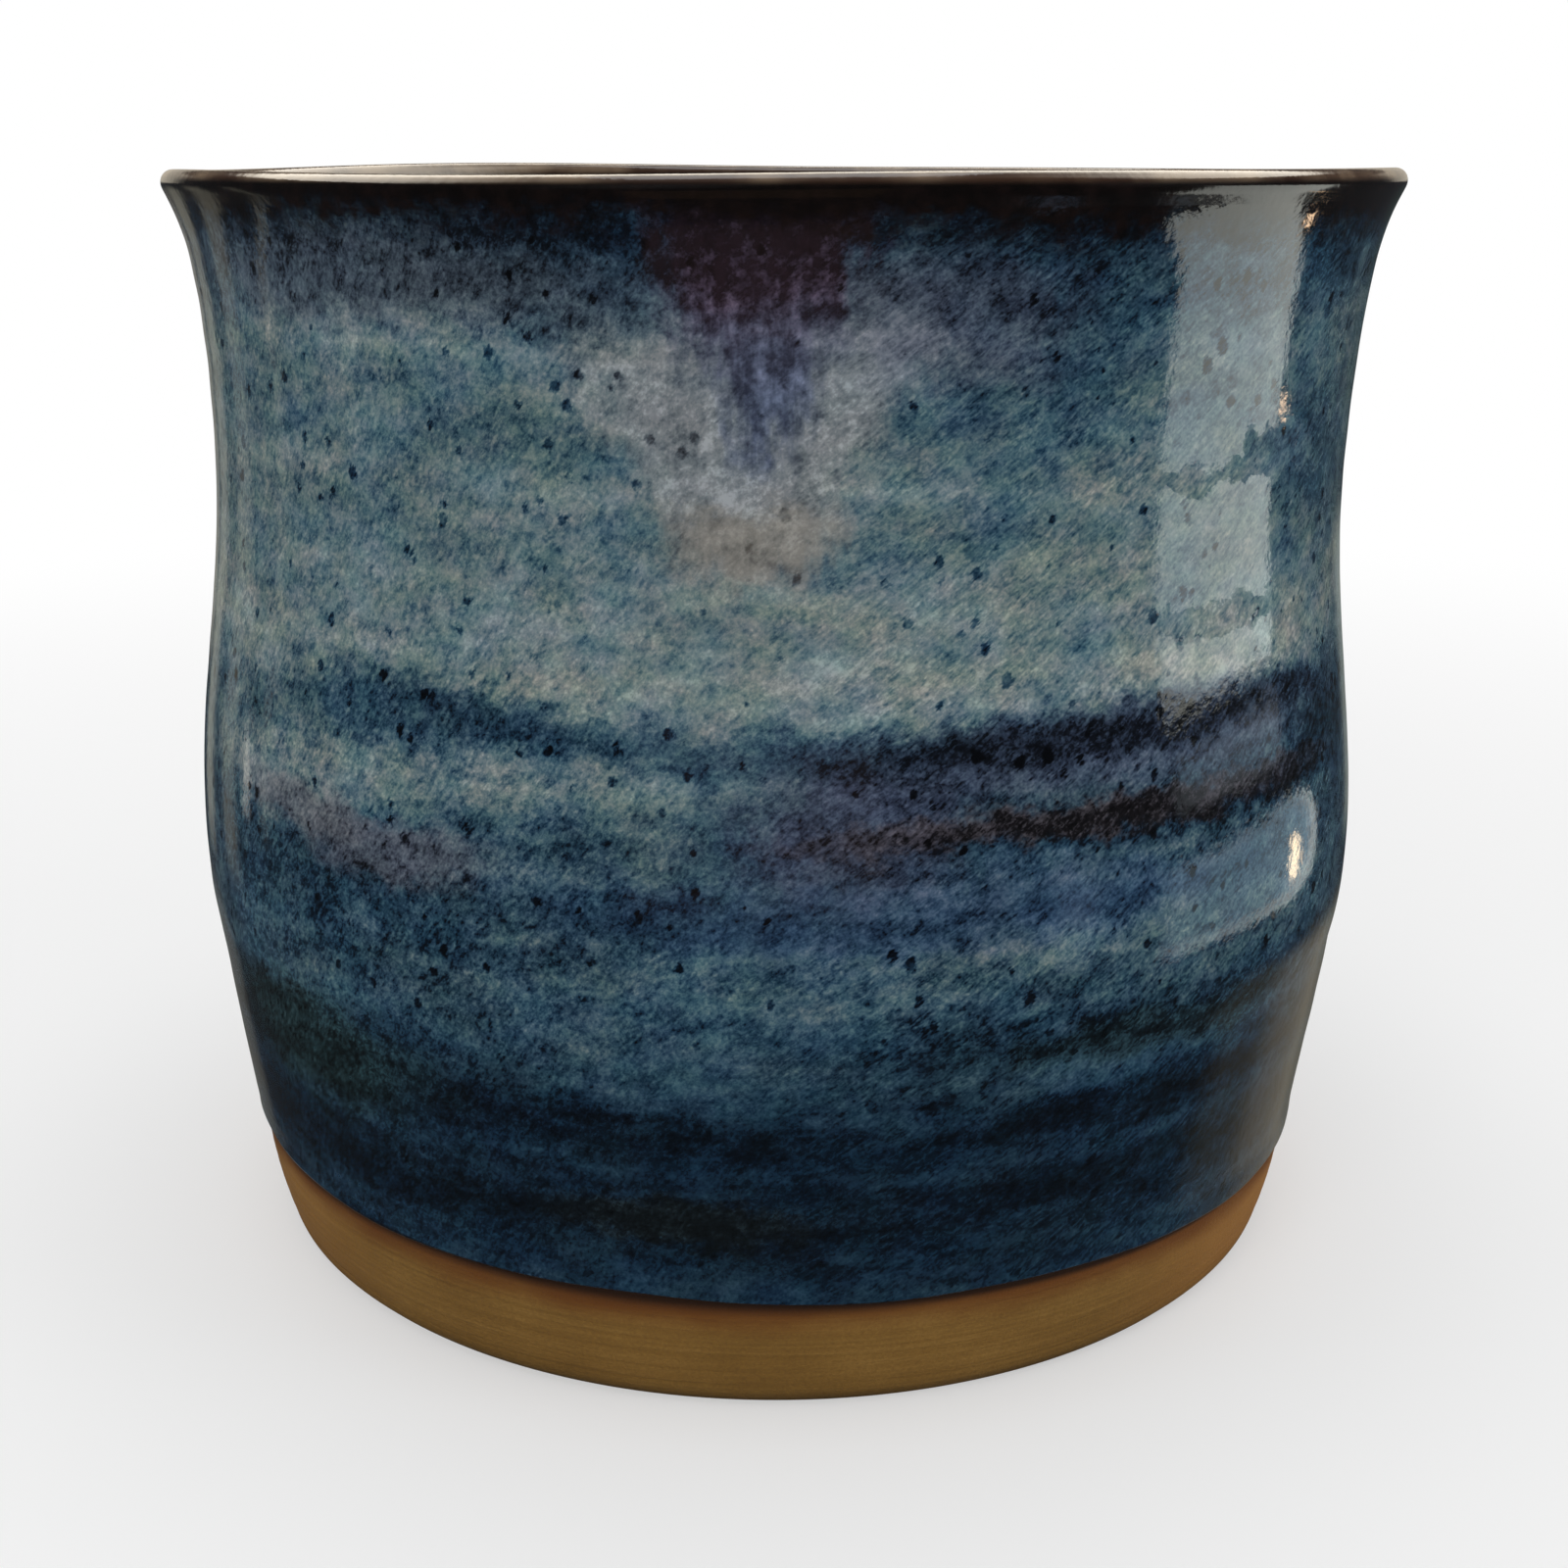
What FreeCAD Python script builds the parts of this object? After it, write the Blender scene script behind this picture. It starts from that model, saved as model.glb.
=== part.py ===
"""Wheel-thrown stoneware vase with a flared lip, a waist and a low belly, in millimetres.

The origin is the centre of the foot on the table, and +Z runs up the axis of the wheel.
The vase is one fired clay body that carries four fused coats of glaze. Each coat is its own
solid, and it shares its inner face exactly with whatever it lies on.
"""
import FreeCAD, Part
import math
import os

# --- Driving dimensions -------------------------------------------------------------------
HEIGHT = 135.0            # table to the top of the lip
RIM_RADIUS = 76.0         # widest point of the flared lip, over the glaze

# Outside of the clay, as (share of the height, radius). The glaze adds its own thickness.
LOWER_WALL = ((0.05, 69.8), (0.11, 71.0), (0.20, 72.7), (0.30, 74.4))
BELLY = (0.40, 75.0)
UPPER_WALL = ((0.50, 74.0), (0.60, 72.3), (0.70, 71.0))
WAIST = (0.79, 70.8)
FLARE = ((0.88, 71.4), (0.94, 72.9))
LIP_LEAN = math.radians(30)     # lean of the wall away from the vertical at the lip

# Clay thickness
LIP_THICKNESS = 2.2       # rounded edge of the lip
LIP_TAPER = 0.2           # how much of the waist's extra thickness is there just under the lip
WAIST_THICKNESS = 4.0
BELLY_THICKNESS = 4.8
HEEL_THICKNESS = 6.5      # low on the wall, where thrown clay is left heavy
FLOOR_THICKNESS = 7.5     # above the turned recess
CORNER_HEIGHT = 15.0      # where the rounded inside corner starts, above the floor

# Foot, turned after throwing
FOOT_TOP_RADIUS = 68.4    # just above the bevel
BEVEL = 1.6               # width and height of the bevel
FOOT_RING_WIDTH = 9.0     # flat contact band
RECESS_DEPTH = 2.0        # hollow under the floor
RECESS_SLOPE = 2.5        # how far the recess wall leans inwards

# Glaze coats
BASE_COAT = 0.50          # dark coat next to the clay
OVER_COAT = 0.40          # mottled coat on top of it
LINER_COAT = 0.45         # inside
LIP_COAT = 0.40           # glaze runs off a sharp lip and stays thin there
LIP_BASE_SHARE = 0.6      # part of the lip's thickness that the base coat makes at the joint
GLAZE_LINE = 14.8         # height where the outside glaze stops above bare clay
GLAZE_ROLL = 0.15         # extra thickness where the glaze rolls up at that line
ROLL_HEIGHT = 3.0         # how far up the roll fades out
OVER_START = 38.0         # lower edge of the mottled coat
FEATHER = 10.0            # height over which a coat thins towards its edge
FEATHER_EDGE = 0.08       # thickness left at a feathered edge
LIP_JOINT_DROP = 3.0      # the lip coat reaches this far below the lip, inside and outside

# --- Derived sizes ------------------------------------------------------------------------
LIP_RADIUS = LIP_THICKNESS / 2
LIP_JOINT_Z = HEIGHT - LIP_JOINT_DROP
FLOOR_TOP = RECESS_DEPTH + FLOOR_THICKNESS
FOOT_RADIUS = FOOT_TOP_RADIUS - BEVEL
RECESS_RADIUS = FOOT_RADIUS - FOOT_RING_WIDTH
OFFSET_POINTS = 25        # fitted points on a coat's outer curve
HALVINGS = 60             # steps of the search for a height on a curve


def point(radius, z):
    """A point, or a direction, in the profile plane."""
    return FreeCAD.Vector(radius, 0, z)


LIP_CENTRE = point(RIM_RADIUS - LIP_COAT - LIP_RADIUS, HEIGHT - LIP_COAT - LIP_RADIUS)
LIP_OUTWARD = point(math.cos(LIP_LEAN), -math.sin(LIP_LEAN))


# --- Curves -------------------------------------------------------------------------------
def curve_through(points):
    """Smooth curve through points."""
    curve = Part.BSplineCurve()
    curve.interpolate(Points=points)
    return curve


def parameter_at(curve, z):
    """Parameter where a curve that rises or falls all along reaches height z."""
    low, high = curve.FirstParameter, curve.LastParameter
    rising = curve.value(high).z > curve.value(low).z
    for _ in range(HALVINGS):
        middle = (low + high) / 2
        if (curve.value(middle).z < z) == rising:
            low = middle
        else:
            high = middle
    return (low + high) / 2


def right_of(curve, parameter):
    """Unit normal on the right of the curve. It points away from the clay on both walls."""
    along = curve.tangent(parameter)[0]
    return point(along.z, -along.x).normalize()


def raised(curve, first, last, thickness):
    """Curve standing off another one by thickness(point), between two of its parameters."""
    points = []
    for step in range(OFFSET_POINTS):
        parameter = first + (last - first) * step / (OFFSET_POINTS - 1)
        base = curve.value(parameter)
        points.append(base + right_of(curve, parameter) * thickness(base))
    return curve_through(points)


def line(start, end):
    return Part.LineSegment(start, end).toShape()


def lip_arc(outer, inner, coat):
    """Half circle over the lip, from the outside to the inside, under a coat of glaze."""
    outside = outer.EndPoint + right_of(outer, outer.LastParameter) * coat
    inside = inner.StartPoint + right_of(inner, inner.FirstParameter) * coat
    top = LIP_CENTRE + point(0, LIP_RADIUS + coat)
    return Part.Arc(outside, top, inside).toShape()


def turned(edges):
    """Solid of revolution about Z from the edges of one closed profile."""
    wire = Part.Wire(Part.__sortEdges__(edges))
    return Part.Face(wire).revolve(point(0, 0), point(0, 1), 360)


def outer_clay_curve():
    """Outside of the clay, from the top of the foot bevel up to the lip."""
    shares = LOWER_WALL + (BELLY,) + UPPER_WALL + (WAIST,) + FLARE
    wall = [point(radius, share * HEIGHT) for share, radius in shares]
    ends = [point(FOOT_TOP_RADIUS, BEVEL), LIP_CENTRE + LIP_OUTWARD * LIP_RADIUS]
    return curve_through([ends[0]] + wall + [ends[1]])


def inner_clay_curve(outer):
    """Inside of the clay, from the lip down to the start of the rounded corner."""
    stations = (
        (FLARE[-1][0] * HEIGHT, LIP_THICKNESS + LIP_TAPER * (WAIST_THICKNESS - LIP_THICKNESS)),
        (WAIST[0] * HEIGHT, WAIST_THICKNESS),
        ((WAIST[0] + BELLY[0]) / 2 * HEIGHT, (WAIST_THICKNESS + BELLY_THICKNESS) / 2),
        (BELLY[0] * HEIGHT, BELLY_THICKNESS),
        (FLOOR_TOP + CORNER_HEIGHT, HEEL_THICKNESS),
    )
    points = [LIP_CENTRE - LIP_OUTWARD * LIP_RADIUS]
    for z, thickness in stations:
        parameter = parameter_at(outer, z)
        points.append(outer.value(parameter) - right_of(outer, parameter) * thickness)
    return curve_through(points)


def rounded_floor(wall, coat):
    """Edges that carry on a wall curve: an arc down to the floor, then the floor to the axis.

    The floor lies at FLOOR_TOP under a coat of the given thickness. The arc leaves the wall
    and meets the floor without a corner.
    """
    inward = right_of(wall, wall.LastParameter)
    floor_z = FLOOR_TOP + coat
    radius = (wall.EndPoint.z - floor_z) / (1 - inward.z)
    centre = wall.EndPoint + inward * radius
    low = point(centre.x, floor_z)
    middle = centre + (point(0, -1) - inward).normalize() * radius
    return [Part.Arc(wall.EndPoint, middle, low).toShape(), line(low, point(0, floor_z))]


# --- Glaze thickness at a point of the clay -----------------------------------------------
def smooth_step(value):
    value = min(max(value, 0.0), 1.0)
    return value * value * (3 - 2 * value)


def towards_lip(z, wall, lip):
    """A coat's thickness: wall below, thinning to lip at the joint with the lip coat."""
    return wall + (lip - wall) * smooth_step((z - LIP_JOINT_Z + FEATHER) / FEATHER)


def base_thickness(clay):
    roll = GLAZE_ROLL * (1 - smooth_step((clay.z - GLAZE_LINE) / ROLL_HEIGHT))
    return towards_lip(clay.z, BASE_COAT + roll, LIP_COAT * LIP_BASE_SHARE)


def both_coats(clay):
    """Base coat and over coat together."""
    over = FEATHER_EDGE + (OVER_COAT - FEATHER_EDGE) * smooth_step((clay.z - OVER_START) / FEATHER)
    return base_thickness(clay) + towards_lip(clay.z, over, LIP_COAT * (1 - LIP_BASE_SHARE))


def liner_thickness(clay):
    return towards_lip(clay.z, LINER_COAT, LIP_COAT)


def lip_thickness(clay):
    return LIP_COAT


# --- Pieces -------------------------------------------------------------------------------
def stoneware_body(outer, inner):
    """Thrown and turned clay: wall, lip, floor, recess and foot ring in one fired piece."""
    underside = [
        point(0, FLOOR_TOP),
        point(0, RECESS_DEPTH),
        point(RECESS_RADIUS - RECESS_SLOPE, RECESS_DEPTH),
        point(RECESS_RADIUS, 0),
        point(FOOT_RADIUS, 0),
        outer.StartPoint,
    ]
    profile = [outer.toShape(), lip_arc(outer, inner, 0), inner.toShape()] + rounded_floor(inner, 0)
    profile += [line(start, end) for start, end in zip(underside, underside[1:])]
    return turned(profile)


def base_glaze(outer, first, last, surface):
    """Dark coat on the outside, from a rounded edge at the glaze line up to the lip coat."""
    low = outer.value(first)
    middle = (surface.StartPoint + low) / 2 - point(0, (BASE_COAT + GLAZE_ROLL) / 2)
    return turned([
        outer.toShape(first, last),
        line(outer.value(last), surface.EndPoint),
        surface.toShape(),
        Part.Arc(surface.StartPoint, middle, low).toShape(),
    ])


def over_glaze(base_surface, first, surface):
    """Mottled coat that lies on the base coat and feathers out on the lower wall."""
    return turned([
        base_surface.toShape(first, base_surface.LastParameter),
        line(base_surface.EndPoint, surface.EndPoint),
        surface.toShape(),
        line(surface.StartPoint, base_surface.value(first)),
    ])


def liner_glaze(inner, first):
    """Inside coat, from the lip coat down the wall and across the floor."""
    surface = raised(inner, first, inner.LastParameter, liner_thickness)
    profile = [
        inner.toShape(first, inner.LastParameter),
        surface.toShape(),
        line(surface.StartPoint, inner.value(first)),
        line(point(0, FLOOR_TOP), point(0, FLOOR_TOP + LINER_COAT)),
    ]
    return turned(profile + rounded_floor(inner, 0) + rounded_floor(surface, LINER_COAT))


def lip_glaze(outer, outer_joint, inner, inner_joint):
    """Thin iron-brown coat that wraps the lip and closes the gap between the other coats."""
    outside = raised(outer, outer_joint, outer.LastParameter, lip_thickness)
    inside = raised(inner, inner.FirstParameter, inner_joint, lip_thickness)
    return turned([
        outer.toShape(outer_joint, outer.LastParameter),
        lip_arc(outer, inner, 0),
        inner.toShape(inner.FirstParameter, inner_joint),
        line(inner.value(inner_joint), inside.EndPoint),
        inside.toShape(),
        lip_arc(outer, inner, LIP_COAT),
        outside.toShape(),
        line(outside.StartPoint, outer.value(outer_joint)),
    ])


def build():
    """Every piece, by name."""
    outer = outer_clay_curve()
    inner = inner_clay_curve(outer)
    glaze_line = parameter_at(outer, GLAZE_LINE)
    over_start = parameter_at(outer, OVER_START)
    outer_joint = parameter_at(outer, LIP_JOINT_Z)
    inner_joint = parameter_at(inner, LIP_JOINT_Z)
    base_surface = raised(outer, glaze_line, outer_joint, base_thickness)
    over_surface = raised(outer, over_start, outer_joint, both_coats)
    over_low = parameter_at(base_surface, over_surface.StartPoint.z)
    return {
        "stoneware_body": stoneware_body(outer, inner),
        "base_glaze": base_glaze(outer, glaze_line, outer_joint, base_surface),
        "over_glaze": over_glaze(base_surface, over_low, over_surface),
        "liner_glaze": liner_glaze(inner, inner_joint),
        "lip_glaze": lip_glaze(outer, outer_joint, inner, inner_joint),
    }


os.makedirs("parts", exist_ok=True)
for name, solid in build().items():
    solid.exportStep(f"parts/{name}.step")
    box = solid.optimalBoundingBox()
    print(f"{name}: {solid.ShapeType}, valid {solid.isValid()}, {solid.Volume / 1000:.1f} cm3,"
          f" z {box.ZMin:.2f} to {box.ZMax:.2f}, radius {box.XMax:.2f}")
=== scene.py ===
"""Looks of the stoneware vase: fine meshes of the clay and its glaze coats, materials, light
and camera.

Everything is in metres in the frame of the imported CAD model: the origin is the centre of the
foot on the table, +Z is up and -Y is the front. Small sizes are written in millimetres times
MM. Azimuth is 0 at the front and grows towards +X.
"""
import math

import bmesh
import bpy
import numpy as np
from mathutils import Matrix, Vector

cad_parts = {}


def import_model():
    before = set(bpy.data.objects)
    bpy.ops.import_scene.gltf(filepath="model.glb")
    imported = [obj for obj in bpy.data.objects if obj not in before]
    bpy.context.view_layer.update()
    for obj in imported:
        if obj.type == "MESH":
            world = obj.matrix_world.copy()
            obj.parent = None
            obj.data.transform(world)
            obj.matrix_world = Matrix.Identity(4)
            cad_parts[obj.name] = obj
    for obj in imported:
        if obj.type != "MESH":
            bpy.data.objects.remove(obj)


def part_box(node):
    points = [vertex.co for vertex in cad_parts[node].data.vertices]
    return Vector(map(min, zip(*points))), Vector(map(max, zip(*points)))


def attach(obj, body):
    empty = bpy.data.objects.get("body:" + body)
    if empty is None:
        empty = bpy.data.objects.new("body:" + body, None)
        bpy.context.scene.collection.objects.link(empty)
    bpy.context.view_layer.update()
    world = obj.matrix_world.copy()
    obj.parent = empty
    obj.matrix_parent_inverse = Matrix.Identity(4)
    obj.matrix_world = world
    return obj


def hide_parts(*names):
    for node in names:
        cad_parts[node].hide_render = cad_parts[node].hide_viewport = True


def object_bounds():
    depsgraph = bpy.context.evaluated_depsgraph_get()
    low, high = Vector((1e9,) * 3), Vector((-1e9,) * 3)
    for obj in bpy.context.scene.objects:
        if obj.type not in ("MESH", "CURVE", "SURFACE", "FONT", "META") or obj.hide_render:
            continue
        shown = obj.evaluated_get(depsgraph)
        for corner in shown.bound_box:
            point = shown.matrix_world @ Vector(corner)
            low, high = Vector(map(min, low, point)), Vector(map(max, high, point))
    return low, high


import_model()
cad_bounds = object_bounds()

MM = 0.001
TURN = 2 * math.pi

# --- Sizes from the frame -----------------------------------------------------------------
FLOOR_Z = cad_bounds[0].z
HEIGHT = cad_bounds[1].z - FLOOR_Z
RIM_RADIUS = (cad_bounds[1].x - cad_bounds[0].x) / 2
GLAZE_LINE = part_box("base_glaze")[0].z
OVER_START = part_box("over_glaze")[0].z
LIP_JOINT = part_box("lip_glaze")[0].z
FLOOR_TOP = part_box("liner_glaze")[0].z
LIP_COAT = cad_bounds[1].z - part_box("stoneware_body")[1].z

# --- Clay outline, as (share of the height, share of the rim's radius) ----------------------
CLAY_WALL = (
    (0.05, 0.918), (0.11, 0.934), (0.20, 0.957), (0.30, 0.979), (0.40, 0.987), (0.50, 0.974),
    (0.60, 0.951), (0.70, 0.934), (0.79, 0.932), (0.88, 0.940), (0.94, 0.959),
)
INNER_WALL = ((0.94, 0.923), (0.79, 0.879), (0.60, 0.898), (0.40, 0.924), (0.30, 0.906), (0.19, 0.867))
LIP_RADIUS = 1.1 * MM
LIP_LEAN = math.radians(30)
FOOT_TOP = (68.4 * MM, 1.6 * MM)
FOOT_RING = (57.8 * MM, 66.8 * MM)
RECESS = (55.3 * MM, 2.0 * MM)

# --- Glaze thickness ------------------------------------------------------------------------
BASE_COAT = 0.50 * MM
EDGE_ROLL = 0.15 * MM
OVER_COAT = 0.40 * MM
LINER_COAT = 0.45 * MM
LIP_BASE_SHARE = 0.6         # share of the lip's coat that the navy glaze carries on into
FEATHER = 10 * MM
LINE_RAISE = 0.35 * MM       # mean height of the wavy glaze line above the frame's
LINE_TILT = 1.2 * MM         # how far it drops towards +X

# --- Hand-made irregularity -----------------------------------------------------------------
LEAN = 1.0 * MM              # the upper half leans towards +X
RIM_WAVE = 0.30 * MM         # the lip rises and falls
RING_PITCH = 7.5 * MM        # throwing rings outside
RING_DEPTH = 0.02 * MM
INNER_RING_PITCH = 9 * MM    # and inside, where fingers press harder
INNER_RING_DEPTH = 0.30 * MM
UNEVEN = 0.18 * MM           # slow swell of the wall
TURNING_DEPTH = 0.014 * MM   # tool lines on the bare foot
TURNED_TOP = 16 * MM         # where they end and the rings begin
FOOT_GROOVE = (3.1 * MM, 0.22 * MM, 0.12 * MM)  # height, half width and depth

OUTLINE_STEP = 0.1 * MM
EDGE_SOFTENING = 7           # outline steps that a corner is rounded over
SHARP_ANGLE = math.radians(50)


# --- Outline of the clay ----------------------------------------------------------------------
def natural_spline(x, y):
    """Function for the smooth curve through the points, with free ends."""
    x, y = np.array(x), np.array(y)
    gap = np.diff(x)
    slope = np.diff(y) / gap
    system = np.eye(len(x))
    right = np.zeros(len(x))
    for i in range(1, len(x) - 1):
        system[i, i - 1:i + 2] = gap[i - 1], 2 * (gap[i - 1] + gap[i]), gap[i]
        right[i] = 6 * (slope[i] - slope[i - 1])
    bend = np.linalg.solve(system, right)

    def curve(at):
        i = np.clip(np.searchsorted(x, at) - 1, 0, len(x) - 2)
        a, b = (x[i + 1] - at) / gap[i], (at - x[i]) / gap[i]
        cubic = ((a ** 3 - a) * bend[i] + (b ** 3 - b) * bend[i + 1]) * gap[i] ** 2 / 6
        return a * y[i] + b * y[i + 1] + cubic

    return curve


def arc(centre, radius, start, end, count=60):
    """Points on an arc in the profile plane. Angles are from +radius towards +z."""
    angle = np.linspace(start, end, count)
    return np.stack([centre[0] + radius * np.cos(angle), centre[1] + radius * np.sin(angle)], 1)


def clay_outline():
    """Points (radius, z) from under the foot, up the outside, over the lip, down to the floor."""
    lip_r = RIM_RADIUS - LIP_COAT - LIP_RADIUS
    lip_z = HEIGHT - LIP_COAT - LIP_RADIUS
    lip_out = (lip_r + LIP_RADIUS * math.cos(LIP_LEAN), lip_z - LIP_RADIUS * math.sin(LIP_LEAN))
    lip_in = (2 * lip_r - lip_out[0], 2 * lip_z - lip_out[1])

    wall = [FOOT_TOP] + [(r * RIM_RADIUS, z * HEIGHT) for z, r in CLAY_WALL] + [lip_out]
    outside = natural_spline([z for r, z in wall], [r for r, z in wall])
    up = np.linspace(FOOT_TOP[1], lip_out[1], 400)

    wall = [(r * RIM_RADIUS, z * HEIGHT) for z, r in reversed(INNER_WALL)] + [lip_in]
    inside = natural_spline([z for r, z in wall], [r for r, z in wall])
    down = np.linspace(lip_in[1], wall[0][1], 400)

    low_r, low_z = inside(down[-1]), down[-1]
    lean = math.atan2(inside(low_z + MM) - low_r, MM)
    corner = (low_z - FLOOR_TOP) / (1 - math.sin(lean))
    centre = (low_r - corner * math.cos(lean), FLOOR_TOP + corner)

    return np.concatenate([
        [(0, RECESS[1]), RECESS, (FOOT_RING[0], 0), (FOOT_RING[1], 0)],
        np.stack([outside(up), up], 1),
        arc((lip_r, lip_z), LIP_RADIUS, -LIP_LEAN, math.pi - LIP_LEAN),
        np.stack([inside(down), down], 1),
        arc(centre, corner, -lean, -math.pi / 2),
        [(0, FLOOR_TOP)],
    ])


class Outline:
    """The clay's outline by arc length, evenly sampled and with its corners softened."""

    def __init__(self, points):
        length = np.append(0, np.cumsum(np.hypot(*np.diff(points, axis=0).T)))
        keep = np.append(True, np.diff(length) > 0)
        even = np.arange(0, length[-1], OUTLINE_STEP)
        kernel = np.ones(EDGE_SOFTENING) / EDGE_SOFTENING
        pad = EDGE_SOFTENING // 2
        columns = []
        for column in points.T:
            line = np.interp(even, length[keep], column[keep])
            columns.append(np.append(line[:pad], np.convolve(line, kernel, "valid")))
            columns[-1] = np.append(columns[-1], line[-pad:])
        self.r, self.z = columns
        self.s = even
        dr, dz = np.gradient(self.r), np.gradient(self.z)
        size = np.hypot(dr, dz)
        self.nr, self.nz = dz / size, -dr / size
        self.top = int(np.argmax(self.z))

    def at(self, s):
        """Radius, z and unit normal at arc length s. The normal points out of the clay."""
        return [np.interp(s, self.s, column) for column in (self.r, self.z, self.nr, self.nz)]

    def outside(self, z):
        """Arc length where the outside reaches height z."""
        first = int(np.searchsorted(self.s, FOOT_RING[1]))
        return np.interp(z, self.z[first:self.top], self.s[first:self.top])

    def inside(self, z):
        """Arc length where the inside reaches height z."""
        return np.interp(-z, -self.z[self.top:], self.s[self.top:])


outline = Outline(clay_outline())
END = outline.s[-1]


# --- Irregularity -----------------------------------------------------------------------------
def smooth_step(value):
    value = np.clip(value, 0, 1)
    return value * value * (3 - 2 * value)


def wander(azimuth, z, turns, pitch, seed, waves=9):
    """Slow random field, about -1 to 1, that closes on itself round the pot.

    turns is the most waves round the pot, and pitch the shortest wave along the height.
    """
    draw = np.random.default_rng(seed)
    total = 0
    for _ in range(waves):
        around = draw.integers(-turns, turns + 1)
        along = draw.uniform(-1, 1) * TURN / pitch
        total = total + np.sin(around * azimuth + along * z + draw.uniform(0, TURN))
    return total / math.sqrt(waves)


def rings(azimuth, z, pitch, seed):
    """Spiral finger rings, about -1 to 1, uneven in height and in depth."""
    drift = 0.9 * wander(azimuth, z, 2, 40 * MM, seed)
    depth = 0.6 + 0.5 * wander(azimuth, z, 3, 30 * MM, seed + 1)
    return depth * np.sin(TURN * z / pitch + azimuth + drift)


def tool_lines(azimuth, z):
    """Fine turning lines on the bare foot, about -1 to 1, nearly level."""
    total = 0
    draw = np.random.default_rng(5)
    for _ in range(14):
        pitch = draw.uniform(0.7, 3.5) * MM
        total = total + np.sin(TURN * z / pitch + draw.uniform(0, TURN) + 0.25 * np.sin(azimuth))
    return total / math.sqrt(14)


def on_pot(azimuth, s, thickness):
    """Points x, y, z at an azimuth, an arc length on the clay and a thickness on the clay.

    Every piece is placed by this one function, so that the coats follow the clay's dents.
    """
    r, z, nr, nz = outline.at(s)
    out, inward = np.clip(nr, 0, 1), np.clip(-nr, 0, 1)
    above_foot = smooth_step((z - TURNED_TOP) / (10 * MM))
    below_lip = smooth_step((HEIGHT - z) / (8 * MM))
    dent = RING_DEPTH * rings(azimuth, z, RING_PITCH, 11) * above_foot
    dent = dent + UNEVEN * wander(azimuth, z, 3, 60 * MM, 21) * smooth_step(z / (30 * MM))
    inner = INNER_RING_DEPTH * rings(azimuth, z, INNER_RING_PITCH, 31)
    inner = inner * smooth_step((z - FLOOR_TOP - 10 * MM) / (15 * MM))
    lines = TURNING_DEPTH * tool_lines(azimuth, z) * (1 - above_foot)
    groove_z, groove_width, groove_depth = FOOT_GROOVE
    lines = lines - groove_depth * np.exp(-((z - groove_z) / groove_width) ** 2)
    low = s < outline.outside(TURNED_TOP + 4 * MM)
    shift = below_lip * (out * dent + inward * inner) + low * out * lines

    radius = r + nr * thickness + shift
    height = z + nz * thickness
    rim = smooth_step((z / HEIGHT - 0.80) / 0.20)
    height = height + RIM_WAVE * wander(azimuth, 0, 5, 1, 41) * rim
    lean = LEAN * np.clip((z / HEIGHT - 0.5) / 0.44, 0, 1)
    return np.stack([radius * np.sin(azimuth) + lean, -radius * np.cos(azimuth), height], -1)


# --- Meshes -----------------------------------------------------------------------------------
def azimuths(count):
    return np.linspace(0, TURN, count, endpoint=False)


def lathe(name, points, joined):
    """Closed mesh from points[row, azimuth, xyz].

    A joined mesh closes its last row onto its first, like a hoop. Otherwise the first and the
    last row are on the axis, and each becomes one point.
    """
    rows, count = points.shape[:2]
    index = np.arange(rows * count).reshape(rows, count)
    if not joined:
        index[0, :] = index[0, 0]
        index[-1, :] = index[-1, 0]
    pairs = [(row, (row + 1) % rows) for row in range(rows if joined else rows - 1)]
    faces = []
    for low, high in pairs:
        a, b = index[low], index[high]
        quads = np.stack([a, np.roll(a, -1), np.roll(b, -1), b], 1)
        if len(set(a)) == 1:
            quads = quads[:, [0, 2, 3]]
        elif len(set(b)) == 1:
            quads = quads[:, [0, 1, 2]]
        faces += quads.tolist()
    mesh = bpy.data.meshes.new(name)
    mesh.from_pydata(points.reshape(-1, 3).tolist(), [], faces)
    drop_loose(mesh)
    mesh.shade_smooth()
    mesh.set_sharp_from_angle(angle=SHARP_ANGLE)
    piece = bpy.data.objects.new(name, mesh)
    bpy.context.scene.collection.objects.link(piece)
    return piece


def drop_loose(mesh):
    """Removes the points that the axis rows don't use."""
    used = np.zeros(len(mesh.vertices), bool)
    corner = np.empty(len(mesh.loops), int)
    mesh.loops.foreach_get("vertex_index", corner)
    used[corner] = True
    if not used.all():
        work = bmesh.new()
        work.from_mesh(mesh)
        work.verts.ensure_lookup_table()
        bmesh.ops.delete(work, geom=[work.verts[i] for i in np.flatnonzero(~used)], context="VERTS")
        work.to_mesh(mesh)
        work.free()


def stretch(start, end, step):
    """Even stations from start to end, about step apart, with end left out."""
    count = max(2, int(abs(end - start) / step))
    return np.linspace(start, end, count, endpoint=False)


def clay_piece():
    around = azimuths(360)
    band = outline.outside(GLAZE_LINE + 3 * MM)
    foot = outline.outside(2.5 * MM)
    lip_out, lip_in = outline.outside(LIP_JOINT), outline.inside(LIP_JOINT)
    s = np.concatenate([
        stretch(0, FOOT_RING[0] - 4 * MM, 2.2 * MM),
        stretch(FOOT_RING[0] - 4 * MM, foot, 0.45 * MM),
        stretch(foot, band, 0.28 * MM),
        stretch(band, lip_out, 2.6 * MM),
        stretch(lip_out, lip_in, 0.6 * MM),
        stretch(lip_in, END, 3.0 * MM),
        [END],
    ])
    return lathe("clay_body", on_pot(around[None, :], s[:, None], 0), joined=False)


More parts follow.
